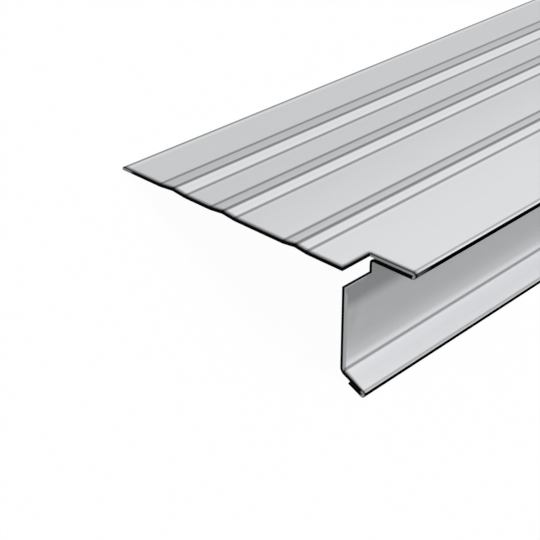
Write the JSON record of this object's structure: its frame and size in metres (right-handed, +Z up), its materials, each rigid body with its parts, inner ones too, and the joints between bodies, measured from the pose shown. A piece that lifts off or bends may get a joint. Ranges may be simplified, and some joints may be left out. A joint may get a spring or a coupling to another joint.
{
  "type": "drip edge",
  "caption": "Ribbed sheet-metal drip edge with a folded nose, a hanging leg, a hemmed kick-out foot and a lap notch at one end.",
  "frame": {"origin": "centre of the strip at floor level, with the strip lying on the rear edge of its flange and on the hem of its kick", "axes": "+Y along the strip, away from its notched end; +X level, from the rear edge of the flange towards the nose; +Z up. The flange leans back 20.6 degrees from level."},
  "size_m": [0.0952, 3.048, 0.034],
  "materials": {
    "drip_edge": "satin mill finish"
  },
  "bodies": {
    "root": {"drip_edge": "drip_edge"}
  },
  "joints": []
}
